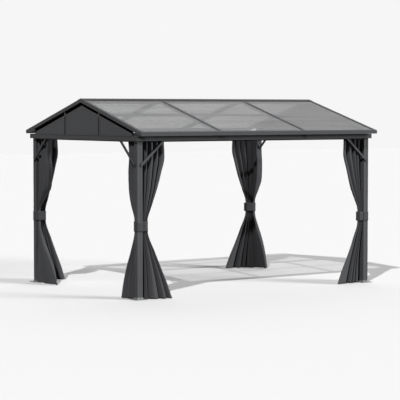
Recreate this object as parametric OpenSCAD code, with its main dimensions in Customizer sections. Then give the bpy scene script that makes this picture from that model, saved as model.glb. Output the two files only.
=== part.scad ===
// Open garden gazebo: four grooved posts, a ring of beams on corner castings, and a pitched roof of
// translucent sheets in slotted rafters. Tied-back curtains hang at each post.
// X runs along the ridge, Y across the gables, Z is up. The origin is on the ground under the ridge.

/* [Footprint] */
// Outside to outside of the posts, along the ridge
post_span_x = 3776; // [3200:1:5200]
// Outside to outside of the posts, across the gables
post_span_y = 2710; // [2500:1:3400]
// Clear height under the beams
clear_h = 2000; // [1850:1:2400]

/* [Posts] */
// Width of a square post
post_w = 75; // [66:1:95]
// Wall of the post extrusion
post_wall = 2; // [1.5:0.1:4]
// Width of the shallow groove down each post face
groove_w = 27; // [12:1:30]
// Depth of that groove
groove_d = 2.5; // [1:0.1:4]

/* [Base plates] */
// Side of a square base plate
plate_w = 175; // [150:1:240]
// Thickness of the base plate
plate_t = 6; // [4:0.5:10]
// Corner radius of the base plate
plate_r = 10; // [4:1:16]
// Height of the collar that holds the post
collar_h = 22; // [12:1:40]
// Wall of the collar
collar_t = 4; // [2:0.5:6]
// Anchor hole diameter
anchor_d = 12; // [8:0.5:16]
// Spacing of the anchor holes, both ways
anchor_pitch = 137; // [125:1:145]

/* [Beams] */
// Height of the beams
beam_h = 62; // [50:1:90]
// How far the beams stand proud of the posts
beam_out = 32; // [20:1:45]
// Wall of the beam extrusion
beam_wall = 2.5; // [2:0.1:4]
// How far the two lips stand proud of the beam face
lip_t = 4; // [2:0.5:6]
// Height of the bottom lip
bottom_lip_h = 10; // [6:0.5:14]
// Height of the top lip
top_lip_h = 6; // [4:0.5:10]
// Width of the flush strip at the outer edge of a corner casting
corner_strip = 24; // [12:1:36]

/* [Braces] */
// How far a knee brace runs along the beam
brace_reach = 330; // [240:1:400]
// How far a knee brace runs down the post
brace_drop = 297; // [220:1:380]
// Width of the brace in the plane of the wall
brace_w = 25; // [20:1:34]
// Thickness of the brace across the wall
brace_t = 20; // [14:1:22]
// How far the foot of a brace laps over the post's outer face
brace_lap = 30; // [15:1:34]
// Wall of the brace tube
brace_wall = 2; // [1.5:0.1:3]
// Width of the groove along the brace
brace_groove_w = 9; // [6:0.5:10]
// Depth of the groove along the brace
brace_groove_d = 1.5; // [0.5:0.1:2]

/* [Roof] */
// Slope of the roof, in degrees
pitch = 15.9; // [12:0.1:20]
// Overhang of the eaves past the posts
eave_over = 145; // [120:1:200]
// Overhang of the verges past the posts
verge_over = 32; // [20:1:45]
// Height of the eave edge above the beams
eave_lift = 50; // [46:1:70]
// Spacing of the two inner rafters
middle_bay = 1360; // [900:1:1600]
// Width of a rafter
rafter_w = 42; // [36:1:50]
// Depth of a rafter, square to the slope
rafter_h = 46; // [42:1:50]
// Thickness of the rafter's top flange, over the sheets
flange_t = 4; // [3:0.5:5]
// Depth of the slot that holds a roof sheet
slot_d = 12; // [8:1:14]
// Wall of the rafter extrusion
rafter_wall = 2.2; // [1.5:0.1:3]
// Thickness of a roof sheet
sheet_t = 6; // [4:0.5:8]
// Height of the eave rail
eave_h = 46; // [42:1:48]
// Width of the eave rail
eave_w = 34; // [30:1:44]
// Wall of the eave rail extrusion
eave_wall = 2.5; // [2:0.1:3.5]
// Height of the shadow groove along the eave rail
eave_groove_h = 5; // [3:0.5:8]
// Depth of that groove
eave_groove_d = 1.5; // [0.5:0.1:1.8]
// Width of the ridge beam
ridge_w = 40; // [30:1:60]
// Height of the ridge beam
ridge_h = 60; // [50:1:80]
// Length of each wing of the ridge cap, down the slope
ridge_wing = 80; // [60:1:120]
// Thickness of the ridge cap
ridge_t = 2.5; // [1.5:0.1:4]
// Distance from the ridge to the purlin, on plan
purlin_run = 690; // [450:1:900]
// Width of the purlin
purlin_w = 34; // [26:1:44]
// Depth of the purlin
purlin_h = 24; // [18:1:30]
// Length of the rafter shoes along the rafter, on plan
shoe_l = 70; // [50:1:90]
// Plate of the rafter shoes
shoe_t = 4; // [3:0.5:6]

/* [Gables] */
// Distance from the middle of the gable to a mullion
mullion_at = 440; // [300:1:600]
// Width of a mullion
mullion_w = 24; // [16:1:34]
// Depth of a mullion
mullion_d = 24; // [16:1:26]
// How far the mullion lies behind the face of the verge
mullion_in = 14; // [8:1:16]
// Thickness of a gable sheet
infill_t = 3; // [2:0.5:5]
// How far the sheet lies behind the face of the mullion
infill_in = 5; // [2:0.5:8]
// Upright gap left open between sheet and rafter
vent_h = 44; // [30:1:50]
// Distance from the post's outer face to the end of the gable sheets
infill_end = 105; // [80:1:160]
// Border round the pressed field of a gable sheet
press_border = 26; // [18:1:34]
// Depth of the pressed field
press_d = 1.2; // [0.6:0.1:1.6]
// Corner radius of the pressed field
press_r = 30; // [15:1:40]

/* [Curtains] */
// Width of the curtain rail
rail_w = 22; // [18:1:26]
// Height of the curtain rail
rail_h = 14; // [10:1:18]
// Wall of the curtain rail
rail_wall = 2; // [1.5:0.1:3]
// Width of the rail's slot
rail_slot = 8; // [6:0.5:10]
// Distance from the post's outer face to the middle of the rail
rail_at = 37.5; // [36:0.5:40]
// Height of the hem above the ground
hem_z = 9; // [8:1:60]
// Height of the middle of the tie
tie_z = 923; // [800:1:1050]
// Height of the tie band
tie_h = 123; // [80:1:160]
// Thickness of the tie band
tie_t = 3; // [2:0.5:5]
// How far the hem swings out from the line of the rail
hem_out = 26; // [0:1:40]
// Depth of the pleats, front to back
pleat_depth = 66; // [50:1:66]
// Thickness of the gathered cloth
cloth_t = 14; // [8:1:18]
// Gap between the post and the first pleat
post_gap = 6; // [5.5:0.5:10]
// Reach of a long side's curtain at its rail
long_top = 330; // [260:1:420]
// Reach of a long side's curtain where it is widest
long_bulge = 343; // [280:1:440]
// Height at which a long side's curtain is widest
long_bulge_z = 1800; // [1500:1:1850]
// Reach of a long side's curtain under its tie
long_waist = 88; // [80:1:130]
// Reach of a long side's curtain at its hem
long_hem = 455; // [300:1:520]
// Pleats in a long side's curtain
long_pleats = 5; // [4:1:8]
// Reach of a gable side's curtain at its rail
cross_top = 145; // [120:1:260]
// Reach of a gable side's curtain where it is widest
cross_bulge = 155; // [130:1:280]
// Height at which a gable side's curtain is widest
cross_bulge_z = 1520; // [1400:1:1850]
// Reach of a gable side's curtain under its tie
cross_waist = 34; // [30:1:80]
// Reach of a gable side's curtain at its hem
cross_hem = 320; // [240:1:420]
// Pleats in a gable side's curtain
cross_pleats = 3; // [3:1:6]

/* [Hidden] */
// Running clearance where one piece sits in another
fit = 0.3;
// Overshoot that takes a cut clear through a face
past = 1;
// How far a curtain's side rounds off between tie and bulge, and how it flares below the tie
bulge_ease = 0.4;
flare_power = 1.1;
$fn = 48;

// Beams and corner castings share one width, from the proud face to the post's inner face
beam_w = beam_out + post_w;
beam_top = clear_h + beam_h;
bay_x = post_span_x - 2 * post_w;
bay_y = post_span_y - 2 * post_w;

// Roof planes: depth is measured square to the slope, down from the rafters' top faces
roof_l = post_span_x + 2 * verge_over;
roof_half = post_span_y / 2 + eave_over;
eave_top = beam_top + eave_lift;
apex_z = eave_top + roof_half * tan(pitch);
slot_h = sheet_t + 2 * fit;
ledge = flange_t + slot_h;
rafter_drop = rafter_h / cos(pitch);
verge_x = roof_l / 2 - rafter_w / 2;
inner_x = middle_bay / 2;
sheet_top_s = (ridge_w / 2 + fit + ledge * sin(pitch)) / cos(pitch);
sheet_end_s = (roof_half - eave_w + slot_d) / cos(pitch);

// Gable planes, measured along X from the middle of the roof
mullion_face = roof_l / 2 - mullion_in;
infill_face = mullion_face - infill_in;
infill_half = post_span_y / 2 - infill_end;

// Curtain heights
curtain_top = clear_h - rail_h - fit;
tie_bottom = tie_z - tie_h / 2;
tie_top = tie_z + tie_h / 2;
brace_foot = clear_h - brace_drop;

CORNERS = [
    ["front_left", -1, -1],
    ["front_right", 1, -1],
    ["back_left", -1, 1],
    ["back_right", 1, 1],
];

FRAME = "#4a4b4d";
TRIM = "#3a3b3d";
PLATE = "#85878a";
SHEET = "#8d8f91";
SHEET_ALPHA = 0.6;
CLOTH = "#38393b";

function mix(a, b, k) = a + (b - a) * k;
function ease(k) = k * k * (3 - 2 * k);
function under_rafter(y) = apex_z - y * tan(pitch) - rafter_drop;

// Sets its children at one corner: X and Y then run inwards from the post's outer faces
module at_corner(side_x, side_y) {
    mirror([side_x > 0 ? 1 : 0, 0, 0])
        mirror([0, side_y > 0 ? 1 : 0, 0])
            translate([-post_span_x / 2, -post_span_y / 2, 0])
                children();
}

// Swaps X and Y, to turn a long side's piece into a gable side's
module swap_sides() {
    mirror([1, -1, 0]) children();
}

// Draws the half at +Y, or its mirror image at -Y
module roof_side(side) {
    mirror([0, side < 0 ? 1 : 0, 0]) children();
}

// On the +Y slope: Y runs down the slope from the ridge, and Z is square to it
module on_slope() {
    translate([0, 0, apex_z]) rotate([-pitch, 0, 0]) children();
}

// Runs a flat outline along X: its own X and Y become Y and Z
module along_x(length) {
    translate([-length / 2, 0, 0]) rotate([90, 0, 90]) linear_extrude(length) children();
}

module rounded_square(w, r) {
    square([w - 2 * r, w], center = true);
    square([w, w - 2 * r], center = true);
    for (x = [-1, 1]) for (y = [-1, 1]) translate([x * (w / 2 - r), y * (w / 2 - r)]) circle(r);
}

// Square with a shallow channel pressed into the middle of each side
module grooved_square(w, channel_w) {
    difference() {
        square(w, center = true);
        for (a = [0:90:270]) rotate(a) translate([w / 2, 0])
            square([2 * groove_d, channel_w], center = true);
    }
}

module base_plate() {
    inner = post_w + 2 * fit;
    color(PLATE) translate([post_w / 2, post_w / 2, 0]) difference() {
        union() {
            linear_extrude(plate_t) rounded_square(plate_w, plate_r);
            translate([0, 0, plate_t]) linear_extrude(collar_h) difference() {
                square(inner + 2 * collar_t, center = true);
                square(inner, center = true);
            }
        }
        for (x = [-1, 1]) for (y = [-1, 1])
            translate([x * anchor_pitch / 2, y * anchor_pitch / 2, -past])
                cylinder(d = anchor_d, h = plate_t + 2 * past);
    }
}

module post() {
    color(FRAME) translate([post_w / 2, post_w / 2, plate_t])
        linear_extrude(clear_h - plate_t) difference() {
            grooved_square(post_w, groove_w);
            grooved_square(post_w - 2 * post_wall, groove_w + 2 * post_wall);
        }
}

// Casting on the post's head that the beams butt against, with the beams' lips carried round it and
// joined by a flush strip at the outer edge
module corner() {
    face_h = beam_h - bottom_lip_h - top_lip_h;
    color(TRIM) difference() {
        translate([-beam_out, -beam_out, clear_h]) cube([beam_w, beam_w, beam_h]);
        translate([-beam_out - past, corner_strip - beam_out, clear_h + bottom_lip_h])
            cube([lip_t + past, beam_w, face_h]);
        translate([corner_strip - beam_out, -beam_out - past, clear_h + bottom_lip_h])
            cube([beam_w, lip_t + past, face_h]);
    }
}

// Beam outline: X runs inwards from the proud lips
module beam_outline() {
    difference() {
        square([beam_w, beam_h]);
        translate([-past, bottom_lip_h]) square([lip_t + past, beam_h - bottom_lip_h - top_lip_h]);
        translate([lip_t + beam_wall, beam_wall])
            square([beam_w - lip_t - 2 * beam_wall, beam_h - 2 * beam_wall]);
    }
}

module long_beam(side) {
    color(FRAME) roof_side(-side) translate([0, -post_span_y / 2 - beam_out, clear_h])
        along_x(bay_x) beam_outline();
}

module cross_beam(side) {
    color(FRAME) swap_sides() roof_side(-side) translate([0, -post_span_x / 2 - beam_out, clear_h])
        along_x(bay_y) beam_outline();
}

// Brace tube in section: X across the wall, Y up from its lower edge
module brace_outline() {
    shell = brace_wall + brace_groove_d;
    difference() {
        square([brace_t, brace_w]);
        for (x = [-past, brace_t - brace_groove_d])
            translate([x, (brace_w - brace_groove_w) / 2]) square([brace_groove_d + past, brace_groove_w]);
        translate([shell, brace_wall]) square([brace_t - 2 * shell, brace_w - 2 * brace_wall]);
    }
}

// Knee brace that laps over the post's outer face and meets the beam from below, cut upright and level
module brace() {
    rise = atan2(brace_drop, brace_reach);
    run = brace_reach + brace_drop;
    drop = brace_drop + 2 * brace_lap;
    intersection() {
        translate([post_w, -brace_t, brace_foot]) rotate([0, -rise, 0])
            along_x(2 * run) brace_outline();
        translate([post_w - brace_lap, -brace_t, clear_h - drop])
            cube([brace_reach + brace_lap, brace_t, drop]);
    }
}

module braces() {
    color(FRAME) {
        brace();
        swap_sides() brace();
    }
}

// Curtain rail in section, hung under the beam with its slot downwards
module rail_outline() {
    difference() {
        translate([-rail_w / 2, -rail_h]) square([rail_w, rail_h]);
        translate([-rail_w / 2 + rail_wall, -rail_h + rail_wall])
            square([rail_w - 2 * rail_wall, rail_h - 2 * rail_wall]);
        translate([-rail_slot / 2, -rail_h - past]) square([rail_slot, rail_wall + 2 * past]);
    }
}

module long_curtain_rails() {
    color(TRIM) for (side = [-1, 1]) roof_side(-side)
        translate([0, rail_at - post_span_y / 2, clear_h]) along_x(bay_x) rail_outline();
}

module cross_curtain_rails() {
    color(TRIM) swap_sides() for (side = [-1, 1]) roof_side(-side)
        translate([0, rail_at - post_span_x / 2, clear_h]) along_x(bay_y) rail_outline();
}

// How far a curtain reaches from the post at height z; reach is [rail, bulge, waist, hem]
function curtain_reach(z, reach, bulge_z) =
    z >= bulge_z ? mix(reach[1], reach[0], (z - bulge_z) / (curtain_top - bulge_z)) :
    z >= tie_top ? let (k = (z - tie_top) / (bulge_z - tie_top))
        mix(reach[2], reach[1], mix(k, ease(k), bulge_ease)) :
    z >= tie_bottom ? reach[2] :
    mix(reach[2], reach[3], pow((tie_bottom - z) / (tie_bottom - hem_z), flare_power));

// Line that the pleats swing about: under the rail down to the tie, and out from it towards the hem
function curtain_line(z) =
    z >= tie_bottom ? rail_at :
    rail_at - hem_out * (tie_bottom - z) / (tie_bottom - hem_z);

// One ring of the pleated solid: out along the outer face of the cloth and back along the inner
function curtain_ring(z, reach, bulge_z, pleats) = let (
    steps = 4 * pleats,
    width = curtain_reach(z, reach, bulge_z) - post_gap,
    swing = (pleat_depth - cloth_t) / 2,
    line = [for (i = [0:steps]) [post_gap + width * i / steps, curtain_line(z) + swing * sin(90 * i)]]
) [
    for (i = [0:steps]) [post_w + line[i][0], line[i][1] - cloth_t / 2, z],
    for (i = [steps:-1:0]) [post_w + line[i][0], line[i][1] + cloth_t / 2, z],
];

// Gathered curtain from hem to rail
module curtain(reach, bulge_z, pleats) {
    lower = [for (i = [0:3]) mix(hem_z, tie_bottom, i / 3)];
    upper = [for (i = [0:4]) mix(tie_top, bulge_z, i / 4)];
    heights = concat(lower, upper, [curtain_top]);
    sides = 8 * pleats + 2;
    points = [for (z = heights) each curtain_ring(z, reach, bulge_z, pleats)];
    last = sides * (len(heights) - 1);
    walls = [for (r = [0:len(heights) - 2]) for (i = [0:sides - 1])
        let (a = r * sides + i, b = r * sides + (i + 1) % sides) each
            [[a, a + sides, b], [b, a + sides, b + sides]]];
    ends = [for (i = [0:4 * pleats - 1]) let (j = sides - 1 - i) each [
        [i, i + 1, j - 1, j],
        [last + j, last + j - 1, last + i + 1, last + i],
    ]];
    polyhedron(points, concat(walls, ends));
}

// The long side's curtain and the gable side's
module curtains() {
    color(CLOTH) {
        curtain([long_top, long_bulge, long_waist, long_hem], long_bulge_z, long_pleats);
        swap_sides() curtain([cross_top, cross_bulge, cross_waist, cross_hem], cross_bulge_z, cross_pleats);
    }
}

// Outline of the tie: round the post and both gathered curtains
module tie_outline(grow) {
    r = tie_t;
    far_x = post_w + long_waist + fit;
    far_y = post_w + cross_waist + fit;
    back = rail_at + pleat_depth / 2 + fit;
    hull() for (p = [[0, 0], [far_x, 0], [far_x, back], [back, far_y], [0, far_y]])
        translate([p[0] == 0 ? r - fit : p[0] - r, p[1] == 0 ? r - fit : p[1] - r])
            circle(r + grow, $fn = 16);
}

module tie() {
    translate([0, 0, tie_bottom]) linear_extrude(tie_h) difference() {
        tie_outline(tie_t);
        tie_outline(0);
    }
}

module curtain_ties() {
    color(TRIM) for (c = CORNERS) at_corner(c[1], c[2]) tie();
}

// Rafter in section: X across it, Y down into its depth, with a sheet slot on each side in slots
module rafter_outline(slots) {
    hollow_top = ledge + rafter_wall;
    difference() {
        translate([-rafter_w / 2, 0]) square([rafter_w, rafter_h]);
        for (side = slots) translate([side * (rafter_w / 2 - slot_d / 2 + past / 2), flange_t + slot_h / 2])
            square([slot_d + past, slot_h], center = true);
        translate([-rafter_w / 2 + rafter_wall, hollow_top])
            square([rafter_w - 2 * rafter_wall, rafter_h - hollow_top - rafter_wall]);
    }
}

// Runs a section down the +Y slope between two upright cuts
module down_slope(near_y, far_y) {
    intersection() {
        on_slope() translate([0, -apex_z, 0]) rotate([-90, 0, 0])
            linear_extrude(2 * apex_z + roof_half) children();
        translate([-rafter_w, near_y, 0]) cube([2 * rafter_w, far_y - near_y, apex_z]);
    }
}

// The pair of rafters at x; a verge pair meets at the ridge, and an inner pair butts on the ridge beam
module rafters(x, slots, near_y) {
    color(FRAME) translate([x, 0, 0]) for (side = [-1, 1]) roof_side(side)
        down_slope(near_y, roof_half - eave_w) rafter_outline(slots);
}

// Hollow saddle between beam and inner rafter, open down its length
module rafter_shoe() {
    mid = post_span_y / 2 + beam_out - beam_w / 2;
    near = mid - shoe_l / 2;
    far = mid + shoe_l / 2;
    along_x(rafter_w)
        polygon([[near, beam_top], [far, beam_top], [far, under_rafter(far)], [near, under_rafter(near)]]);
}

module shoe_hollow() {
    mid = post_span_y / 2 + beam_out - beam_w / 2;
    near = mid - shoe_l;
    far = mid + shoe_l;
    low = beam_top + shoe_t;
    top = shoe_t / cos(pitch);
    along_x(rafter_w - 2 * shoe_t)
        polygon([[near, low], [far, low], [far, under_rafter(far) - top], [near, under_rafter(near) - top]]);
}

module rafter_shoes() {
    color(TRIM) for (x = [-inner_x, inner_x]) for (side = [-1, 1]) translate([x, 0, 0]) roof_side(side)
        difference() {
            rafter_shoe();
            shoe_hollow();
        }
}

module ridge_beam() {
    top = apex_z - ridge_w / 2 * tan(pitch) - fit;
    color(FRAME) along_x(roof_l - 2 * rafter_w) difference() {
        translate([-ridge_w / 2, top - ridge_h]) square([ridge_w, ridge_h]);
        translate([-ridge_w / 2 + rafter_wall, top - ridge_h + rafter_wall])
            square([ridge_w - 2 * rafter_wall, ridge_h - 2 * rafter_wall]);
    }
}

// Folded sheet over the ridge
module ridge_cap() {
    wing = [ridge_wing * cos(pitch), -ridge_wing * sin(pitch)];
    skin = [ridge_t * sin(pitch), ridge_t * cos(pitch)];
    right = [[0, ridge_t / cos(pitch)], wing + skin, wing, [0, 0]];
    left = [for (i = [2:-1:1]) [-right[i][0], right[i][1]]];
    color(TRIM) translate([0, 0, apex_z]) along_x(roof_l) polygon(concat(right, left));
}

// Eave rail in section: a hollow fascia with a shadow groove, under the plane of the roof
module eave_outline() {
    near = roof_half - eave_w;
    low = eave_top - eave_h;
    under_slot = eave_top - ledge / cos(pitch) - eave_wall;
    difference() {
        polygon([[near, low], [roof_half, low], [roof_half, eave_top],
            [near, eave_top + eave_w * tan(pitch)]]);
        translate([near + eave_wall, low + eave_wall])
            square([eave_w - 2 * eave_wall - eave_groove_d, under_slot - low - eave_wall]);
        translate([roof_half - eave_groove_d, low + eave_h / 2 - eave_groove_h / 2])
            square([eave_groove_d + past, eave_groove_h]);
    }
}

module eave_rail(side) {
    color(TRIM) roof_side(side) difference() {
        along_x(roof_l) eave_outline();
        on_slope() translate([-roof_l, 0, -ledge]) cube([2 * roof_l, sheet_end_s + fit, slot_h]);
    }
}

// Purlin lengths under the sheets, between the rafters
module purlins(side) {
    spans = [
        [-verge_x + rafter_w / 2, -inner_x - rafter_w / 2],
        [-inner_x + rafter_w / 2, inner_x - rafter_w / 2],
        [inner_x + rafter_w / 2, verge_x - rafter_w / 2],
    ];
    color(FRAME) roof_side(side) for (span = spans) on_slope()
        translate([(span[0] + span[1]) / 2, purlin_run / cos(pitch), -ledge])
            along_x(span[1] - span[0]) difference() {
                translate([-purlin_w / 2, -purlin_h]) square([purlin_w, purlin_h]);
                translate([-purlin_w / 2 + rafter_wall, -purlin_h + rafter_wall])
                    square([purlin_w - 2 * rafter_wall, purlin_h - 2 * rafter_wall]);
            }
}

// Three translucent sheets, held in the rafters' slots and the eave rail's
module roof_sheets(side) {
    inset = rafter_w / 2 - slot_d + fit;
    lines = [-verge_x, -inner_x, inner_x, verge_x];
    color(SHEET, SHEET_ALPHA) roof_side(side) for (i = [0:2]) on_slope()
        translate([lines[i] + inset, sheet_top_s, -flange_t - fit - sheet_t])
            cube([lines[i + 1] - lines[i] - 2 * inset, sheet_end_s - sheet_top_s, sheet_t]);
}

// Sets an outline of the gable, drawn in Y and Z, with its outer face at distance face along X
module on_gable(side, face, depth) {
    mirror([side < 0 ? 1 : 0, 0, 0]) translate([face - depth / 2, 0, 0]) along_x(depth) children();
}

// Uprights between beam and verge rafter, cut to the slope
module gable_mullions(side) {
    near = mullion_at - mullion_w / 2;
    far = mullion_at + mullion_w / 2;
    color(FRAME) for (y_side = [-1, 1]) roof_side(y_side) on_gable(side, mullion_face, mullion_d)
        polygon([[near, beam_top], [far, beam_top], [far, under_rafter(far)], [near, under_rafter(near)]]);
}

// Outline between two upright edges, shrunk by border, with corners of radius r beside the mullions
module infill_outline(from, to, border, r) {
    low = beam_top + border;
    drop = vent_h + border / cos(pitch);
    tip = (apex_z - rafter_drop - drop - low) / tan(pitch);
    near = from + border;
    far = min(to - border, tip - border);
    middle = near < 0;
    peak = middle ? [[0, under_rafter(0) - drop]] : [];
    difference() {
        polygon(concat([[near, low], [far, low], [far, under_rafter(abs(far)) - drop]], peak,
            [[near, under_rafter(abs(near)) - drop]]));
        if (r > 0) for (edge = middle ? [[near, 1], [far, -1]] : [[near, 1]]) difference() {
            translate([edge[0] + edge[1] * r / 2, low + r / 2]) square(r, center = true);
            translate([edge[0] + edge[1] * r, low + r]) circle(r);
        }
    }
}

// One gable sheet, with its field pressed in from outside
module infill(side, from, to) {
    difference() {
        on_gable(side, infill_face, infill_t) infill_outline(from, to, 0, 0);
        on_gable(side, infill_face + past, press_d + past) infill_outline(from, to, press_border, press_r);
    }
}

module gable_sheets(side) {
    inner = mullion_at - mullion_w / 2;
    outer = mullion_at + mullion_w / 2;
    color(FRAME) {
        infill(side, -inner, inner);
        for (y_side = [-1, 1]) roof_side(y_side) infill(side, outer, infill_half);
    }
}

for (c = CORNERS) {
    at_corner(c[1], c[2]) base_plate();
    at_corner(c[1], c[2]) post();
    at_corner(c[1], c[2]) corner();
    at_corner(c[1], c[2]) braces();
    at_corner(c[1], c[2]) curtains();
}
long_beam(-1);  // front_beam
long_beam(1);  // back_beam
cross_beam(-1);  // left_beam
cross_beam(1);  // right_beam
long_curtain_rails();
cross_curtain_rails();
curtain_ties();
rafter_shoes();
rafters(-verge_x, [1], fit / 2);  // left_verge_rafters
rafters(-inner_x, [-1, 1], ridge_w / 2);  // left_inner_rafters
rafters(inner_x, [-1, 1], ridge_w / 2);  // right_inner_rafters
rafters(verge_x, [-1], fit / 2);  // right_verge_rafters
ridge_beam();
ridge_cap();
eave_rail(-1);  // front_eave_rail
eave_rail(1);  // back_eave_rail
purlins(-1);  // front_purlins
purlins(1);  // back_purlins
roof_sheets(-1);  // front_roof_sheets
roof_sheets(1);  // back_roof_sheets
gable_mullions(-1);  // left_gable_mullions
gable_mullions(1);  // right_gable_mullions
gable_sheets(-1);  // left_gable_sheets
gable_sheets(1);  // right_gable_sheets
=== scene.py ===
import math
import random

import bmesh
import bpy
import numpy as np
from mathutils import Matrix, Vector


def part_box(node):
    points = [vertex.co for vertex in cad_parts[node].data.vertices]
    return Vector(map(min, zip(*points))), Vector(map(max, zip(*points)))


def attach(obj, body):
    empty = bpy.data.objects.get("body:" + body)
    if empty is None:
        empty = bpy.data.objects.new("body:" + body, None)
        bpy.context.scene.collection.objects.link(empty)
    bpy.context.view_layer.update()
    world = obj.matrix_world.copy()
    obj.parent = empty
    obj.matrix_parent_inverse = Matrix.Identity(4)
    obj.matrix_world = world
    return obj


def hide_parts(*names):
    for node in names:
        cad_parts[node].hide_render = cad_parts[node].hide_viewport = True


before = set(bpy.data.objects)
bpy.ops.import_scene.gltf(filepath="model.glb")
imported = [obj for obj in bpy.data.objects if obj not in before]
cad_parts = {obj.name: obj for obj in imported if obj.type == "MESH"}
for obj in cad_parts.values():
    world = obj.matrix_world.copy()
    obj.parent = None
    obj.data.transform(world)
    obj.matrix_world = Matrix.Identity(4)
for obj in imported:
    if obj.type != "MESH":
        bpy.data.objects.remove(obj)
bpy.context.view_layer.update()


# Base plates: four square feet of steel plate, each with a welded collar that the post drops into.
# They are powder coated in a paler grey than the frame, and a button-head screw in each side of the
# collar holds the post.
corners = {
    "front_left": (-1, -1),
    "front_right": (1, -1),
    "back_left": (-1, 1),
    "back_right": (1, 1),
}
plate_grey = (0.22, 0.223, 0.228)
coat_rough = 0.46
coat_rough_drift = 0.08
coat_contrast = 0.16
coat_cloud_scale = 2.2
coat_speck_scale = 190.0
coat_speck_share = 0.3
coat_peel_scale = 420.0
coat_peel_height = 0.0005
screw_grey = (0.06, 0.06, 0.063)
screw_rough = 0.34
screw_sides = 12
screw_taper = 0.72
socket_rim = 0.3
socket_depth = 0.6
collar_wall = 0.0043
collar_screw_z = 0.017
collar_screw_r = 0.0065
collar_screw_h = 0.003


class Shade:
    """A shader socket that takes part in sums: each operator adds its Math node."""

    def __init__(self, tree, socket):
        self.tree = tree
        self.socket = socket

    def node(self, kind, settings, sockets, out=0):
        """Adds a node of any kind: its settings first, then the values or links of its sockets."""
        made = self.tree.nodes.new(kind)
        for name, value in settings.items():
            setattr(made, name, value)
        for key, value in sockets.items():
            if isinstance(value, Shade):
                self.tree.links.new(value.socket, made.inputs[key])
            else:
                made.inputs[key].default_value = value
        return Shade(self.tree, made.outputs[out])

    def math(self, operation, first, second=0.0):
        """Adds one Math node."""
        return self.node("ShaderNodeMath", {"operation": operation}, {0: first, 1: second})

    def __add__(self, other):
        return self.math("ADD", self, other)

    def __radd__(self, other):
        return self.math("ADD", other, self)

    def __sub__(self, other):
        return self.math("SUBTRACT", self, other)

    def __mul__(self, other):
        return self.math("MULTIPLY", self, other)

    def __rmul__(self, other):
        return self.math("MULTIPLY", other, self)

    def __pow__(self, other):
        return self.math("POWER", self, other)

    def __lt__(self, other):
        return self.math("LESS_THAN", self, other)

    def __gt__(self, other):
        return self.math("GREATER_THAN", self, other)

    def __abs__(self):
        return self.math("ABSOLUTE", self)

    def wave(self, pitch):
        """A sine of this length, from -1 to 1, once every pitch."""
        return self.math("SINE", self * (2 * math.pi / pitch))

    def between(self, low, high):
        """Mixes two colours by this value."""
        return self.node("ShaderNodeMix", {"data_type": "RGBA"}, {0: self, 6: low, 7: high}, out=2)

    def tint(self, colour, contrast):
        """A colour that this value makes darker or lighter by up to a contrast."""
        darker = tuple(part * (1 - contrast) for part in colour) + (1,)
        lighter = tuple(part * (1 + contrast) for part in colour) + (1,)
        return self.between(darker, lighter)

    def axis(self, index):
        """One axis of this vector."""
        return self.node("ShaderNodeSeparateXYZ", {}, {0: self}, out=index)

    def stretched(self, scale):
        """This vector with each axis scaled."""
        return self.node("ShaderNodeVectorMath", {"operation": "MULTIPLY"}, {0: self, 1: scale})

    def noise(self, scale, detail):
        """Noise from 0 to 1 over this vector."""
        return self.node("ShaderNodeTexNoise", {}, {"Vector": self, "Scale": scale, "Detail": detail})

    def bump(self, strength, depth):
        """A normal that takes this value as its height."""
        return self.node("ShaderNodeBump", {}, {"Strength": strength, "Distance": depth, "Height": self})


def new_finish(name, sockets):
    """A material, its shader with the given constant sockets, and the piece's own coordinates."""
    material = bpy.data.materials.new(name)
    material.use_nodes = True
    tree = material.node_tree
    shader = tree.nodes["Principled BSDF"]
    for key, value in sockets.items():
        shader.inputs[key].default_value = value
    place = Shade(tree, tree.nodes.new("ShaderNodeTexCoord").outputs["Object"])
    return material, shader, place


def feed(shader, sockets):
    """Links shades to sockets of a shader."""
    for key, shade in sockets.items():
        shade.tree.links.new(shade.socket, shader.inputs[key])


def powder_coat(name, colour, rough=coat_rough):
    """Baked-on powder: an even colour, slightly cloudy, with the fine orange peel of a sprayed coat."""
    material, shader, place = new_finish(name, {"Specular IOR Level": 0.06})
    cloud = place.noise(coat_cloud_scale, detail=5.0)
    speck = place.noise(coat_speck_scale, detail=2.0)
    peel = place.noise(coat_peel_scale, detail=2.0)
    mottle = (1 - coat_speck_share) * cloud + coat_speck_share * speck
    feed(shader, {
        "Base Color": mottle.tint(colour, coat_contrast),
        "Roughness": rough - coat_rough_drift + 2 * coat_rough_drift * cloud,
        "Normal": peel.bump(strength=0.22, depth=coat_peel_height),
    })
    return material


def dress(material, *nodes):
    """Gives CAD nodes that stay in view their finish."""
    for node in nodes:
        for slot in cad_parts[node].material_slots:
            slot.material = material


def add_piece(name, work, material, smooth=False):
    """Makes finished mesh work a piece of the object, riding on its one body."""
    for face in work.faces:
        face.smooth = smooth
    mesh = bpy.data.meshes.new(name)
    work.to_mesh(mesh)
    work.free()
    mesh.materials.append(material)
    piece = bpy.data.objects.new(name, mesh)
    bpy.context.scene.collection.objects.link(piece)
    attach(piece, "root")
    return piece


def screw_head(work, at, axis, radius, height):
    """A button head with a sunk socket, seated at a point and standing along an axis."""
    axis = Vector(axis).normalized()
    turn = Vector((0, 0, 1)).rotation_difference(axis).to_matrix().to_4x4()
    lift = Matrix.Translation((0, 0, height / 2))
    made = bmesh.ops.create_cone(work, cap_ends=True, segments=screw_sides, radius1=radius,
                                 radius2=screw_taper * radius, depth=height,
                                 matrix=Matrix.Translation(at) @ turn @ lift)
    faces = {face for vert in made["verts"] for face in vert.link_faces}
    top = max(faces, key=lambda face: face.calc_center_median().dot(axis))
    bmesh.ops.inset_region(work, faces=[top], thickness=socket_rim * radius, depth=0)
    bmesh.ops.translate(work, verts=top.verts, vec=axis * (-socket_depth * height))


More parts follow.
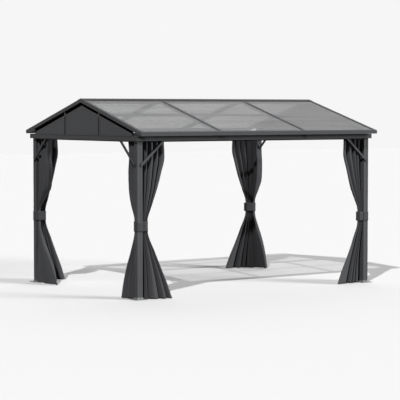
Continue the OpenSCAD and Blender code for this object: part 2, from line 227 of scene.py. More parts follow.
plate_coat = powder_coat("plate_powder_coat", plate_grey)
screw_steel = powder_coat("blackened_screw_steel", screw_grey, screw_rough)
for corner in corners:
    dress(plate_coat, "base_plate_" + corner)
    low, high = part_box("post_" + corner)
    middle = (low + high) / 2
    reach = (high.x - low.x) / 2 + collar_wall
    work = bmesh.new()
    for axis in ((1, 0, 0), (-1, 0, 0), (0, 1, 0), (0, -1, 0)):
        seat = Vector((middle.x, middle.y, collar_screw_z)) + Vector(axis) * reach
        screw_head(work, seat, axis, collar_screw_r, collar_screw_h)
    add_piece("collar_screws_" + corner, work, screw_steel)


# Posts: four square hollow extrusions with a shallow groove down each face, cut to length and powder
# coated in the frame's dark grey. The base collars and the corner castings hold them.
frame_grey = (0.072, 0.073, 0.076)
frame_coat = powder_coat("frame_powder_coat", frame_grey)
dress(frame_coat, *["post_" + corner for corner in corners])


# Corner castings and beams: hollow lipped beams butt against a cast block on each post's head, and
# long screws draw them together. A slightly darker powder coat covers them; on the beams that darkness
# is painted shade for the shadow under the eaves.
beam_nodes = ["front_beam", "back_beam", "left_beam", "right_beam"]
trim_and_shade_grey = (0.06, 0.061, 0.064)
trim_and_shade_coat = powder_coat("trim_and_shade_powder_coat", trim_and_shade_grey)
beam_screw_in = 0.03
beam_screw_rise = 0.014
beam_screw_r = 0.0055
beam_screw_h = 0.0025
beam_lip = 0.004
# The beams take this darker coat as painted shade: it stands in for the shadow the eaves cast on them.
dress(trim_and_shade_coat, *beam_nodes)
dress(trim_and_shade_coat, *["corner_" + corner for corner in corners])
for node in beam_nodes:
    low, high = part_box(node)
    middle = (low + high) / 2
    along, across = (0, 1) if high.x - low.x > high.y - low.y else (1, 0)
    out = math.copysign(1, middle[across])
    axis = Vector((0, 0, 0))
    axis[across] = out
    work = bmesh.new()
    for end in (low[along] + beam_screw_in, high[along] - beam_screw_in):
        for rise in (-beam_screw_rise, beam_screw_rise):
            seat = middle + Vector((0, 0, rise))
            seat[along] = end
            seat[across] = (high[across] if out > 0 else low[across]) - out * beam_lip
            screw_head(work, seat, axis, beam_screw_r, beam_screw_h)
    add_piece(node + "_screws", work, screw_steel)


# Knee braces: short grooved tubes between post and beam, two at each post. Their feet lap over the post's
# outer face, their heads meet the beam from below, and a screw in the groove near each end holds them.
brace_reach = 0.33
brace_slope = math.radians(42)
brace_width = 0.025
brace_out = 0.0185
brace_foot_screw = 0.006
brace_head_screw = 0.032
brace_screw_r = 0.0042
brace_screw_h = 0.003
dress(frame_coat, *["braces_" + corner for corner in corners])
post_boxes = {corner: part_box("post_" + corner) for corner in corners}
post_width = post_boxes["front_left"][1].x - post_boxes["front_left"][0].x
beam_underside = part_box("front_beam")[0].z


def corner_point(corner, along, inward, z, gable):
    """A point at one corner, measured from the post's outer faces along a wall and inward from it."""
    side_x, side_y = corners[corner]
    low, high = post_boxes[corner]
    outer_x = high.x if side_x > 0 else low.x
    outer_y = high.y if side_y > 0 else low.y
    if gable:
        along, inward = inward, along
    return Vector((outer_x - side_x * along, outer_y - side_y * inward, z))


brace_run = brace_reach / math.cos(brace_slope)
half_across = brace_width / 2 * math.sin(brace_slope)
half_up = brace_width / 2 * math.cos(brace_slope)
for corner in corners:
    work = bmesh.new()
    for gable in (False, True):
        outward = corner_point(corner, 0, -1, 0, gable) - corner_point(corner, 0, 0, 0, gable)
        for run in (brace_foot_screw, brace_run - brace_head_screw):
            along = post_width + run * math.cos(brace_slope) - half_across
            z = beam_underside - (brace_run - run) * math.sin(brace_slope) + half_up
            seat = corner_point(corner, along, -brace_out, z, gable)
            screw_head(work, seat, outward, brace_screw_r, brace_screw_h)
    add_piece("brace_screws_" + corner, work, screw_steel)


# Rafters, ridge, eaves and purlins: slotted extrusions that carry the roof sheets, on saddle shoes over
# the long beams. A folded cap covers the ridge, and a screw with a sealing washer holds it every 0.6 m.
roof_pitch = math.radians(15.9)
ridge_shade_grey = (0.036, 0.037, 0.039)
cap_screw_run = 0.058
cap_screw_gap = 0.6
cap_screw_r = 0.006
cap_screw_h = 0.004
washer_r = 0.009
washer_h = 0.0015
end_cap_t = 0.002
end_cap_round = 0.0006
shoe_screw_r = 0.006
shoe_screw_h = 0.003
dress(frame_coat, "left_verge_rafters", "left_inner_rafters", "right_inner_rafters", "right_verge_rafters")
dress(frame_coat, "ridge_beam", "front_purlins", "back_purlins")
dress(trim_and_shade_coat, "front_eave_rail", "back_eave_rail", "rafter_shoes")
# The ridge cap's darker coat is painted shade: it stands in for the shade on the cap's face.
dress(powder_coat("ridge_shade_powder_coat", ridge_shade_grey), "ridge_cap")


def add_bar(work, size, centre):
    """A plain bar of a given size about its centre; returns its corners."""
    verts = bmesh.ops.create_cube(work, size=1)["verts"]
    bmesh.ops.scale(work, verts=verts, vec=size)
    bmesh.ops.translate(work, verts=verts, vec=centre)
    return verts


def round_edges(work, edges, offset, segments=2):
    """Rounds edges over."""
    bmesh.ops.bevel(work, geom=edges, offset=offset, segments=segments, profile=0.5, affect="EDGES",
                    material=-1)


cap_low, cap_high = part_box("ridge_cap")
cap_length = cap_high.x - cap_low.x
cap_screw_count = round(cap_length / cap_screw_gap)
cap_screw_y = cap_screw_run * math.cos(roof_pitch)
cap_screw_z = cap_high.z - cap_screw_run * math.sin(roof_pitch)
work = bmesh.new()
for side in (-1, 1):
    axis = Vector((0, side * math.sin(roof_pitch), math.cos(roof_pitch)))
    for step in range(cap_screw_count):
        x = cap_low.x + (step + 0.5) * cap_length / cap_screw_count
        seat = Vector((x, side * cap_screw_y, cap_screw_z))
        screw_head(work, seat, axis, washer_r, washer_h)
        screw_head(work, seat + axis * washer_h, axis, cap_screw_r, cap_screw_h)
add_piece("ridge_cap_screws", work, screw_steel)

for node in ("front_eave_rail", "back_eave_rail"):
    low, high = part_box(node)
    middle = (low + high) / 2
    slope_drop = (high.y - low.y) * math.tan(roof_pitch)
    work = bmesh.new()
    for end in (low.x - end_cap_t / 2, high.x + end_cap_t / 2):
        verts = add_bar(work, (end_cap_t, high.y - low.y, high.z - low.z), (end, middle.y, middle.z))
        outer_top = [vert for vert in verts if vert.co.z > middle.z and abs(vert.co.y) > abs(middle.y)]
        bmesh.ops.translate(work, verts=outer_top, vec=(0, 0, -slope_drop))
    round_edges(work, work.edges[:], end_cap_round)
    add_piece(node + "_end_caps", work, trim_and_shade_coat)

shoe_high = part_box("rafter_shoes")[1]
rafter_low, rafter_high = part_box("right_inner_rafters")
beam_low, beam_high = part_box("back_beam")
rafter_x = (rafter_low.x + rafter_high.x) / 2
rafter_half = (rafter_high.x - rafter_low.x) / 2
shoe_y = (beam_low.y + beam_high.y) / 2
shoe_z = (beam_high.z + shoe_high.z) / 2
work = bmesh.new()
for side_x in (-1, 1):
    for side_y in (-1, 1):
        for out in (-1, 1):
            seat = Vector((side_x * rafter_x + out * rafter_half, side_y * shoe_y, shoe_z))
            screw_head(work, seat, (out, 0, 0), shoe_screw_r, shoe_screw_h)
add_piece("rafter_shoe_screws", work, screw_steel)


# Roof sheets: twin-wall translucent sheets in smoke grey, with their ribs running down the slope. They
# slide into the rafters' slots, and a black rubber lip seals each long edge.
sheet_grey = (0.198, 0.2, 0.204)
sheet_contrast = 0.4
rib_pitch = 0.0105
rib_share = 0.1
reflection_streak_stretch = (0.35, 3, 3)
reflection_streak_scale = 1.7
sheet_alpha = 0.28
slant_alpha = 0.53
rib_alpha = 0.01
rubber_black = (0.018, 0.018, 0.019)
rubber_rough = 0.6
gasket_w = 0.004
gasket_h = 0.0025
gasket_round = 0.001
sheet_flange = 0.004


def smoke_sheet(name):
    """Twin-wall sheet: faintly ribbed, with painted reflections streaked along it, and denser when it is
    seen along its surface.
    """
    material, shader, place = new_finish(name, {"Roughness": 0.3, "IOR": 1.5, "Specular IOR Level": 0.4})
    rib = 0.5 + 0.5 * place.axis(0).wave(rib_pitch)
    # The streaks are painted reflections: soft lighter and darker bands in the sheet's colour along its
    # length.
    reflection_streak = place.stretched(reflection_streak_stretch).noise(reflection_streak_scale, detail=2.0)
    slant = place.node("ShaderNodeLayerWeight", {}, {"Blend": 0.5}, out=1)
    feed(shader, {
        "Base Color": (rib_share * rib + (1 - rib_share) * reflection_streak).tint(sheet_grey, sheet_contrast),
        "Alpha": sheet_alpha + slant_alpha * slant ** 4 + rib_alpha * rib,
        "Normal": rib.bump(strength=0.04, depth=0.0004),
    })
    return material


smoke = smoke_sheet("smoke_twin_wall_sheet")
rubber = powder_coat("black_gasket_rubber", rubber_black, rubber_rough)
dress(smoke, "front_roof_sheets", "back_roof_sheets")
sheet_sides = {
    "left_verge_rafters": (1,),
    "left_inner_rafters": (-1, 1),
    "right_inner_rafters": (-1, 1),
    "right_verge_rafters": (-1,),
}
gasket_x = []
for node, sides in sheet_sides.items():
    low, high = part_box(node)
    gasket_x += [(high.x if side > 0 else low.x) + side * gasket_w / 2 for side in sides]
apex_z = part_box("left_verge_rafters")[1].z
gasket_from = cap_high.y / math.cos(roof_pitch)
gasket_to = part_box("back_eave_rail")[0].y / math.cos(roof_pitch)
gasket_length = gasket_to - gasket_from
for name, side in (("front", -1), ("back", 1)):
    work = bmesh.new()
    for x in gasket_x:
        centre = (x, (gasket_from + gasket_to) / 2, gasket_h / 2 - sheet_flange)
        add_bar(work, (gasket_w, gasket_length, gasket_h), centre)
    long_edges = [edge for edge in work.edges if edge.calc_length() > gasket_length / 2]
    round_edges(work, long_edges, gasket_round)
    bmesh.ops.rotate(work, verts=work.verts, cent=(0, 0, 0), matrix=Matrix.Rotation(-roof_pitch, 3, "X"))
    bmesh.ops.translate(work, verts=work.verts, vec=(0, 0, apex_z))
    bmesh.ops.scale(work, verts=work.verts, vec=(1, side, 1))
    bmesh.ops.recalc_face_normals(work, faces=work.faces)
    add_piece(name + "_sheet_gaskets", work, rubber)


# Gables: three pressed steel sheets between two uprights on each gable beam, with a vent gap under the
# verge that a strip of near-black woven mesh closes from inside, as painted shade for the dark vent.
# Blind rivets hold the sheets to the beam, and a flat strip of the black rubber on each upright is painted
# shade for the shadow beside it.
rivet_gap = 0.19
rivet_rise = 0.012
rivet_r = 0.0045
rivet_h = 0.002
verge_depth = 0.046
vent_height = 0.066
vent_half = 1.25
vent_shade_black = (0.005, 0.005, 0.005)
mesh_contrast = 0.6
mesh_thick = 0.0012
wire_pitch = 0.0016
upright_width = 0.024
shade_strip_width = 0.019
shade_strip_thick = 0.0015
shade_strip_round = 0.0005


def vent_shade_mesh_finish(name):
    """Near-black woven mesh, painted shade for the dark vent: wires crossing about every 1.6 mm, with
    darker gaps between them.
    """
    material, shader, place = new_finish(name, {"Roughness": 0.7, "Specular IOR Level": 0.1})
    wires = 0.5 + 0.5 * place.axis(1).wave(wire_pitch) * place.axis(2).wave(wire_pitch)
    feed(shader, {
        # Painted shade: the near-black colour and the darker gaps stand in for the dark inside of the vent.
        "Base Color": wires.tint(vent_shade_black, mesh_contrast),
        "Normal": wires.bump(strength=0.3, depth=0.0005),
    })
    return material


gable_coat = powder_coat("gable_sheet_powder_coat", frame_grey)
vent_mesh = vent_shade_mesh_finish("vent_shade_black_mesh")
beam_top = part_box("left_beam")[1].z
vent_top = apex_z - verge_depth / math.cos(roof_pitch)
vent_turn = (vent_top - vent_height - beam_top) / math.tan(roof_pitch)
for side_name, side in (("left", -1), ("right", 1)):
    dress(frame_coat, side_name + "_gable_mullions")
    dress(gable_coat, side_name + "_gable_sheets")
    low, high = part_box(side_name + "_gable_sheets")
    face_x = high.x if side > 0 else low.x
    back_x = low.x if side > 0 else high.x
    count = round((high.y - low.y) / rivet_gap)
    work = bmesh.new()
    for step in range(count):
        y = low.y + (step + 0.5) * (high.y - low.y) / count
        screw_head(work, (face_x, y, low.z + rivet_rise), (side, 0, 0), rivet_r, rivet_h)
    add_piece(side_name + "_gable_rivets", work, gable_coat)

    work = bmesh.new()
    stations = []
    for y in (-vent_half, -vent_turn, 0, vent_turn, vent_half):
        top = vent_top - abs(y) * math.tan(roof_pitch)
        foot = max(top - vent_height, beam_top)
        stations.append([work.verts.new((back_x - side * mesh_thick, y, z)) for z in (foot, top)])
    for before, after in zip(stations, stations[1:]):
        work.faces.new(before + after[::-1])
    bmesh.ops.solidify(work, geom=work.faces[:], thickness=mesh_thick)
    bmesh.ops.recalc_face_normals(work, faces=work.faces)
    add_piece(side_name + "_vent_mesh", work, vent_mesh)

    # A flat black strip on each upright is painted shade: it stands in for the shadow beside the upright.
    low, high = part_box(side_name + "_gable_mullions")
    shade_strip_x = (high.x if side > 0 else low.x) + side * shade_strip_thick / 2
    upright_y = high.y - upright_width / 2
    shade_strip_top = vent_top - upright_y * math.tan(roof_pitch) - vent_height
    work = bmesh.new()
    for y in (-upright_y, upright_y):
        size = (shade_strip_thick, shade_strip_width, shade_strip_top - beam_top)
        add_bar(work, size, (shade_strip_x, y, (shade_strip_top + beam_top) / 2))
    round_edges(work, work.edges[:], shade_strip_round)
    add_piece(side_name + "_gable_shade_strips", work, rubber)


# Curtain rails: small slotted channels under the beams, in line with the posts. Grey nylon gliders run in
# the slots, and each carries one fold of a curtain by a ring.
dress(trim_and_shade_coat, "long_curtain_rails", "cross_curtain_rails")
rail_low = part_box("long_curtain_rails")[0].z
rail_in = post_width / 2
nylon_grey = (0.3, 0.3, 0.29)
nylon_rough = 0.4
glider_w = 0.006
glider_stem = 0.009
glider_round = 0.0012
ring_r = 0.004
ring_wire = 0.0009
nylon = powder_coat("grey_glider_nylon", nylon_grey, nylon_rough)


def glider_shape():
    """A stem that hangs out of the rail's slot, and the ring below it."""
    work = bmesh.new()
    add_bar(work, (glider_w, glider_w, glider_stem), (0, 0, 0))
    round_edges(work, work.edges[:], glider_round, segments=1)
    below = Vector((0, 0, -glider_stem / 2 - ring_r + ring_wire))
    wire = bmesh.ops.create_circle(work, segments=6, radius=ring_wire, cap_ends=False)["verts"]
    bmesh.ops.translate(work, verts=wire, vec=below + Vector((ring_r, 0, 0)))
    edges = list({edge for vert in wire for edge in vert.link_edges})
    bmesh.ops.spin(work, geom=wire + edges, cent=below, axis=(0, 1, 0), angle=2 * math.pi, steps=12,
                   use_merge=True)
    bmesh.ops.recalc_face_normals(work, faces=work.faces)
    mesh = bpy.data.meshes.new("curtain_glider")
    work.to_mesh(mesh)
    work.free()
    return mesh


glider_mesh = glider_shape()


def add_glider(work, at):
    """One more glider at a place under a rail."""
    count = len(work.verts)
    work.from_mesh(glider_mesh)
    work.verts.ensure_lookup_table()
    bmesh.ops.translate(work, verts=work.verts[count:], vec=at)


# Curtains: eight panels of dark grey polyester, two at each post, hooked to their gliders in folds and
# pulled in at the post by a tie. Broad folds show with narrow dark gaps between, and the hems are sewn.
cloth_grey = (0.067, 0.068, 0.072)
cloth_contrast = 0.22
cloth_thick = 0.0012
cloth_relief = 0.0008
weave_pitch = 0.0016
slub_stretch = (90, 2.5, 1)
cloud_scale = 3.5
hem_depth = 0.032
hem_thread = 0.0007
hem_stitch = 0.005
stitch_gap = -0.3
hem_z = 0.008
head_z = rail_low
tie_low, tie_high = (end.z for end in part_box("curtain_ties"))
curtain_start = 0.006
columns_per_fold = 20
cloth_rows = 120
depth_tries = 14
# Shape of a fold: how round its crest is, how much deeper its valley lies, how far its crest leans over
# its sides below the head, and how far into the last fold the free edge stops.
fold_round = 1.1
valley_depth = 2.6
fold_overhang = 0.3
head_drop = 0.4
edge_turn = 0.7
gap_limit = 0.15
# How the cloth loosens away from the tie, tucks in behind the post, and widens above the tie.
slack_reach = 0.5
loose_from = 0.15
loose_span = 0.5
curtain_tuck = 0.02
tuck_drop = 0.25
tuck_share = 0.45
widen_by = 0.3
flare_power = 1.1
# Small unevenness: folds wander in width, swell in depth, and are smocked under the head.
fold_wander = 0.12
wander_by_height = 2.3
wander_by_fold = 2
fold_swell = 0.14
swell_by_fold = 1.3
swell_by_height = 0.8
smock_drop = 0.22
smock_depth = 0.0035
smock_waves = 3
# How far the folds reach along the wall from the post, and how deep they may be, both by height.
curtain_sides = {
    "long": {
        "gable": False,
        "reach": [(hem_z, 0.371), (0.187, 0.322), (0.386, 0.25), (0.59, 0.176), (tie_low, 0.084),
                  (tie_high, 0.082), (1.19, 0.153), (1.39, 0.231), (1.59, 0.292), (1.8, 0.343),
                  (head_z, 0.333)],
        "depth": [(hem_z, 0.030), (tie_low, 0.030), (tie_high, 0.030), (head_z, 0.032)],
    },
    "gable": {
        "gable": True,
        "reach": [(hem_z, 0.222), (0.187, 0.207), (0.386, 0.169), (0.59, 0.097), (tie_low, 0.029),
                  (tie_high, 0.029), (1.19, 0.103), (1.39, 0.159), (1.59, 0.170), (1.8, 0.148),
                  (head_z, 0.166)],
        "depth": [(hem_z, 0.024), (tie_low, 0.018), (tie_high, 0.018), (1.3, 0.030), (head_z, 0.031)],
    },
}
# Each panel: the side its first fold stands out to, its flat width, its width above and below the tie
# against the usual one, how far its two edges flare out at the hem, the gap beside the post, and the
# shares of its folds at the head and at the hem.
drapes = {
    "front_left_long": {"out": 1, "flat": 1.0, "wide": (1.0, 1.0), "flare": (0.04, 0.13), "gap": 0.034,
                        "head": (0.8, 1.4, 1.0, 1.3), "hem": (0.5, 1.9, 1.1, 1.0)},
    "front_left_gable": {"out": 1, "flat": 0.52, "wide": (1.0, 1.0), "flare": (0.03, 0.085), "gap": 0.03,
                         "head": (1.0, 1.2, 0.9), "hem": (0.8, 1.0, 1.3)},
    "front_right_long": {"out": 1, "flat": 1.02, "wide": (1.04, 1.27), "flare": (0.0, 0.03), "gap": 0.045,
                         "head": (0.9, 0.8, 1.2, 1.4), "hem": (0.7, 0.5, 0.6, 2.4)},
    "front_right_gable": {"out": -1, "flat": 0.5, "wide": (1.0, 1.2), "flare": (0.0, 0.03), "gap": 0.0,
                          "head": (1.2, 0.9, 1.0), "hem": (1.0, 1.2, 0.9)},
    "back_left_long": {"out": -1, "flat": 0.84, "wide": (0.84, 1.1), "flare": (0.0, 0.03), "gap": 0.0,
                       "head": (1.0, 1.3, 0.8, 1.1), "hem": (1.2, 1.0, 0.8, 1.5)},
    "back_left_gable": {"out": 1, "flat": 0.67, "wide": (2.0, 2.6), "flare": (0.075, 0.02), "gap": 0.006,
                        "head": (0.5, 2.0, 0.7), "hem": (1.2, 2.0, 0.7)},
    "back_right_long": {"out": -1, "flat": 0.9, "wide": (1.0, 1.2), "flare": (0.0, 0.03), "gap": 0.0,
                        "head": (1.2, 0.9, 0.7, 1.3), "hem": (1.0, 0.6, 1.1, 1.8)},
    "back_right_gable": {"out": -1, "flat": 0.51, "wide": (0.86, 1.42), "flare": (0.0, 0.03), "gap": 0.0,
                         "head": (0.8, 1.6, 0.9), "hem": (0.7, 2.0, 0.8)},
}


def through(points, z):
    """A smooth line through a few points, level at a turning point and never past its neighbours."""
    heights = [point[0] for point in points]
    values = [point[1] for point in points]
    slopes = [(values[i + 1] - values[i]) / (heights[i + 1] - heights[i]) for i in range(len(points) - 1)]
    turns = [slopes[0]]
    for before, after in zip(slopes, slopes[1:]):
        turns.append(0 if before * after <= 0 else 2 * before * after / (before + after))
    turns.append(slopes[-1])
    i = min(max(sum(height <= z for height in heights) - 1, 0), len(slopes) - 1)
    gap = heights[i + 1] - heights[i]
    k = min(max((z - heights[i]) / gap, 0), 1)
    rise = k * k * (3 - 2 * k)
    return (values[i] + rise * (values[i + 1] - values[i])
            + gap * k * (1 - k) * ((1 - k) * turns[i] - k * turns[i + 1]))


def curtain_cloth(name, colour):
    """Plain-woven polyester: fine weave, slubs along the drop, and a stitched hem along the foot."""
    material, shader, _ = new_finish(name, {
        "Specular IOR Level": 0.05, "Sheen Weight": 0.08, "Sheen Roughness": 0.45, "Roughness": 0.9})
    tree = material.node_tree
    flat = Shade(tree, tree.nodes.new("ShaderNodeUVMap").outputs[0])
    across, up = flat.axis(0), flat.axis(1)
    weave = across.wave(weave_pitch) * up.wave(weave_pitch)
    slub = flat.stretched(slub_stretch).noise(1.0, detail=3.0)
    cloud = flat.noise(cloud_scale, detail=4.0)
    thread = (abs(up - hem_depth) < hem_thread) * (across.wave(hem_stitch) > stitch_gap)
    fold = (up < hem_depth) * 0.5
    tone = 0.35 * slub + 0.35 * cloud + 0.15 + 0.15 * weave
    feed(shader, {
        "Base Color": (tone + 0.3 * thread).tint(colour, cloth_contrast),
        "Normal": (0.35 * weave + 0.5 * slub + fold + thread).bump(strength=0.35, depth=cloth_relief),
    })
    return material


def curtain_rows(shape, drape, seed):
    """Heights of the cloth's rows, and where every column lies along and across the wall in each."""
    draw = random.Random(seed)
    depth_phase = draw.uniform(0, 2 * math.pi)
    sway_phase = draw.uniform(0, 2 * math.pi)
    head_shares, hem_shares = np.array(drape["head"]), np.array(drape["hem"])
    near_flare, far_flare = drape["flare"]
    wide_above, wide_below = drape["wide"]
    folds = len(head_shares)
    first = 0 if drape["out"] > 0 else 0.5
    turn = np.linspace(first, folds - 1 + edge_turn, folds * columns_per_fold + 1)
    fold = turn.astype(int)
    part = turn - fold
    round_fold = 2 * np.sin(math.pi * part) ** fold_round - 1
    start = post_width + curtain_start
    rows = []
    for row in range(cloth_rows + 1):
        rise = row / cloth_rows
        z = hem_z + (head_z - hem_z) * rise
        below_head = head_z - z
        slack = min(abs(z - tie_low), abs(z - tie_high), slack_reach) / slack_reach
        loose = min(max((slack - loose_from) / loose_span, 0), 1)
        fall = max((tie_low - z) / (tie_low - hem_z), 0) ** flare_power
        above_tie = max(min((z - tie_high) / widen_by, 1), 0)

        wander = np.sin(wander_by_height * z + sway_phase + wander_by_fold * np.arange(folds))
        shares = hem_shares + (head_shares - hem_shares) * rise
        shares = shares * (1 + fold_wander * slack * wander)
        edges = np.concatenate([[0], np.cumsum(shares)])
        overhang = fold_overhang * min(below_head / head_drop, 1)
        lean = part - overhang / (2 * math.pi) * np.sin(2 * math.pi * part)
        along = edges[fold] + shares[fold] * lean
        along = (along - along[0]) / (along[-1] - along[0])

        tuck = curtain_tuck * loose * min(below_head / tuck_drop, 1) * np.maximum(1 - along / tuck_share, 0)
        line = rail_in + tuck - fall * (near_flare + (far_flare - near_flare) * along)
        wide = 1 + (wide_above - 1) * above_tie + (wide_below - 1) * fall
        width = wide * through(shape["reach"], z) - curtain_start
        gap = min(drape["gap"], gap_limit * width)
        along = start + np.where(turn > first, gap + along * (width - gap), 0)

        crest = np.where(round_fold < 0, 1 + (valley_depth - 1) * loose, 1) * round_fold
        swell = 1 + fold_swell * slack * np.sin(swell_by_fold * turn + depth_phase + swell_by_height * z)
        smock = smock_depth * max(1 - below_head / smock_drop, 0) ** 2
        smock = smock * np.sin(2 * math.pi * smock_waves * turn)
        low, high = 0.0, through(shape["depth"], z)
        for _ in range(depth_tries):
            depth = (low + high) / 2
            inward = line - drape["out"] * depth * swell * crest - smock
            length = np.hypot(np.diff(along), np.diff(inward)).sum()
            low, high = (depth, high) if length < drape["flat"] else (low, depth)
        rows.append((z, along, inward))
    return rows


def add_thickness(piece, thickness, side):
    """Gives a sheet its thickness: about its surface for side 0, and outward from it for side 1."""
    thick = piece.modifiers.new("thickness", "SOLIDIFY")
    thick.thickness = thickness
    thick.offset = side


def curtain_piece(name, corner, shape, flat_width, rows):
    """One gathered panel, bent row by row from a flat grid that carries the cloth's flat sizes."""
    columns = len(rows[0][1]) - 1
    drop = head_z - hem_z
    work = bmesh.new()
    flat = work.loops.layers.uv.new("flat")
    bmesh.ops.create_grid(work, x_segments=columns, y_segments=cloth_rows, size=0.5)
    for face in work.faces:
        for loop in face.loops:
            loop[flat].uv = ((loop.vert.co.x + 0.5) * flat_width, (loop.vert.co.y + 0.5) * drop)
    for vert in work.verts:
        column = round((vert.co.x + 0.5) * columns)
        z, along, inward = rows[round((vert.co.y + 0.5) * cloth_rows)]
        vert.co = corner_point(corner, along[column], inward[column], z, shape["gable"])
    bmesh.ops.recalc_face_normals(work, faces=work.faces)
    piece = add_piece(name, work, cloth, smooth=True)
    add_thickness(piece, cloth_thick, 0)
    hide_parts("curtains_" + corner)


cloth = curtain_cloth("curtain_polyester", cloth_grey)
first_seed = 20
for index, corner in enumerate(corners):
    gliders = bmesh.new()
    for side_index, (side_name, shape) in enumerate(curtain_sides.items()):
        name = corner + "_" + side_name
        rows = curtain_rows(shape, drapes[name], first_seed + 2 * index + side_index)
        curtain_piece("curtain_" + name, corner, shape, drapes[name]["flat"], rows)
        _, along, inward = rows[-1]
        for column in range(len(along) - 1):
            if inward[column] < rail_in <= inward[column + 1]:
                seat = corner_point(corner, along[column], rail_in, rail_low, shape["gable"])
                add_glider(gliders, seat)
    add_piece("curtain_gliders_" + corner, gliders, nylon)


# Ties: a broad band of the same polyester round each post and its two curtains, pulled tight and closed
# with a sewn tab over the long curtain. Each is doubled cloth with a line of stitches along both edges.
tie_grey = (0.056, 0.057, 0.061)
tie_contrast = 0.2
tie_points = [(-0.003, -0.003), (0.076, -0.003), (0.083, 0.011), (0.096, 0.003), (0.148, 0.003),
              (0.161, 0.014), (0.162, 0.058), (0.150, 0.073), (0.082, 0.102), (0.062, 0.109),
              (0.022, 0.109), (-0.003, 0.08)]
tie_centre = (0.08, 0.05)
tie_corner = 0.004
tie_thick = 0.0024
tie_rows = 10
tie_flare = 0.002
tie_weave_pitch = 0.0018
tie_cloud_scale = 6.0
tie_seam_in = 0.008
tie_thread = 0.0008
tie_stitch = 0.006
tab_from, tab_to = 0.108, 0.148
tab_proud = 0.0027
tab_inset = 0.003
tab_columns = 6
tie_height = tie_high - tie_low
tie_middle = (tie_low + tie_high) / 2


def tie_cloth(name, colour):
    """The curtain's polyester, doubled and sewn, with a line of stitches near both edges of the band."""
    material, shader, place = new_finish(name, {
        "Specular IOR Level": 0.06, "Sheen Weight": 0.1, "Sheen Roughness": 0.45, "Roughness": 0.85})
    up = place.axis(2)
    round_post = place.axis(0) + place.axis(1)
    weave = round_post.wave(tie_weave_pitch) * up.wave(tie_weave_pitch)
    cloud = place.noise(tie_cloud_scale, detail=4.0)
    from_seam = abs(abs(up - tie_middle) - (tie_height / 2 - tie_seam_in))
    thread = (from_seam < tie_thread) * (round_post.wave(tie_stitch) > stitch_gap)
    feed(shader, {
        "Base Color": (0.6 * cloud + 0.2 + 0.15 * weave + 0.5 * thread).tint(colour, tie_contrast),
        "Normal": (0.4 * weave + thread).bump(strength=0.35, depth=cloth_relief),
    })
    return material


tie_weave = tie_cloth("tie_polyester", tie_grey)
for corner in corners:
    work = bmesh.new()
    work.faces.new([work.verts.new(corner_point(corner, along, inward, tie_low, False))
                    for along, inward in tie_points])
    bmesh.ops.bevel(work, geom=work.verts[:], offset=tie_corner, segments=3, profile=0.5,
                    affect="VERTICES", material=-1)
    ring = work.edges[:]
    bmesh.ops.delete(work, geom=work.faces[:], context="FACES_ONLY")
    for _ in range(tie_rows):
        grown = bmesh.ops.extrude_edge_only(work, edges=ring)["geom"]
        ring = [part for part in grown if isinstance(part, bmesh.types.BMEdge)]
        lifted = [part for part in grown if isinstance(part, bmesh.types.BMVert)]
        bmesh.ops.translate(work, verts=lifted, vec=(0, 0, tie_height / tie_rows))
    middle = corner_point(corner, *tie_centre, tie_middle, False)
    for vert in work.verts:
        bow = ((vert.co.z - middle.z) / (tie_height / 2)) ** 2
        outward = Vector((vert.co.x - middle.x, vert.co.y - middle.y, 0)).normalized()
        vert.co += outward * tie_flare * bow
    bmesh.ops.recalc_face_normals(work, faces=work.faces)
    tie = add_piece("curtain_tie_" + corner, work, tie_weave, smooth=True)
    add_thickness(tie, tie_thick, 1)
    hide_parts("curtain_ties")

    work = bmesh.new()
    bmesh.ops.create_grid(work, x_segments=tab_columns, y_segments=tie_rows, size=0.5)
    for vert in work.verts:
        along = tab_from + (tab_to - tab_from) * (vert.co.x + 0.5)
        z = tie_low + tab_inset + (tie_height - 2 * tab_inset) * (vert.co.y + 0.5)
        vert.co = corner_point(corner, along, -tab_proud, z, False)
    bmesh.ops.recalc_face_normals(work, faces=work.faces)
    tab = add_piece("curtain_tie_tab_" + corner, work, tie_weave, smooth=True)
    add_thickness(tab, tie_thick, 0)
    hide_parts("curtain_ties")


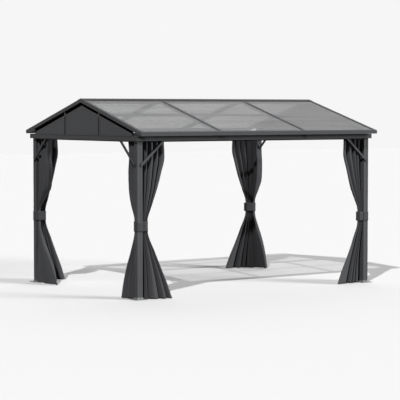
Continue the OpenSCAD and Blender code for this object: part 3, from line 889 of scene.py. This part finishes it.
# Studio: a pale floor that runs out into a pale background, a hard key light from the left of the camera,
# a broad light from the right and a soft one from behind. The camera stands at the photograph's angle.
floor_white = 0.76
background_white = 0.92
floor_bounce = 0.1
sky_fill = 0.04
key_travel = (0.83, 0.68, -1.0)
key_strength = 2.7
key_spread = 1.2
side_travel = (-0.66, 0.76, -0.35)
side_strength = 3.7
side_spread = 24
back_travel = (-0.55, -0.75, -0.6)
back_strength = 1.3
back_spread = 70
floor_half = 60.0
camera_lens = 146.02
camera_place = (-12.748, -18.553, 2.386)
camera_dip = 3.165
camera_turn = -34.48
camera_far = 300.0

scene = bpy.context.scene
scene.view_settings.view_transform = "Standard"

work = bmesh.new()
bmesh.ops.create_grid(work, x_segments=1, y_segments=1, size=floor_half)
floor_mesh = bpy.data.meshes.new("floor")
work.to_mesh(floor_mesh)
work.free()
floor = bpy.data.objects.new("floor", floor_mesh)
scene.collection.objects.link(floor)


def when_seen(tree, lit, seen):
    """One colour for the light that falls on the object, another for what is seen or mirrored."""
    paths = tree.nodes.new("ShaderNodeLightPath").outputs
    rays = [Shade(tree, paths[kind]) for kind in ("Is Camera Ray", "Is Glossy Ray", "Is Transmission Ray")]
    return (rays[0] + rays[1] + rays[2]).between((lit,) * 3 + (1,), (seen,) * 3 + (1,))


paper, paper_shader, _ = new_finish("pale_paper_floor", {"Roughness": 1.0, "Specular IOR Level": 0.0})
feed(paper_shader, {"Base Color": when_seen(paper.node_tree, floor_bounce, floor_white)})
floor_mesh.materials.append(paper)

world = bpy.data.worlds.new("studio")
scene.world = world
world.use_nodes = True
sky = world.node_tree.nodes["Background"]
feed(sky, {"Color": when_seen(world.node_tree, sky_fill, background_white)})


def lamp(name, travel, strength, spread):
    """A distant lamp whose light travels along a direction, with the width of its disc in degrees."""
    light = bpy.data.lights.new(name, "SUN")
    light.energy = strength
    light.angle = math.radians(spread)
    holder = bpy.data.objects.new(name, light)
    holder.rotation_euler = Vector(travel).to_track_quat("-Z", "Y").to_euler()
    scene.collection.objects.link(holder)
    return holder


lamp("key_light", key_travel, key_strength, key_spread)
lamp("side_light", side_travel, side_strength, side_spread)
back_light = lamp("back_light", back_travel, back_strength, back_spread)
back_light.visible_glossy = False

eye = bpy.data.cameras.new("camera")
eye.sensor_width = 36.0
eye.lens = camera_lens
eye.clip_end = camera_far
camera = bpy.data.objects.new("camera", eye)
camera.location = camera_place
camera.rotation_euler = (math.radians(90 - camera_dip), 0, math.radians(camera_turn))
scene.collection.objects.link(camera)
scene.camera = camera
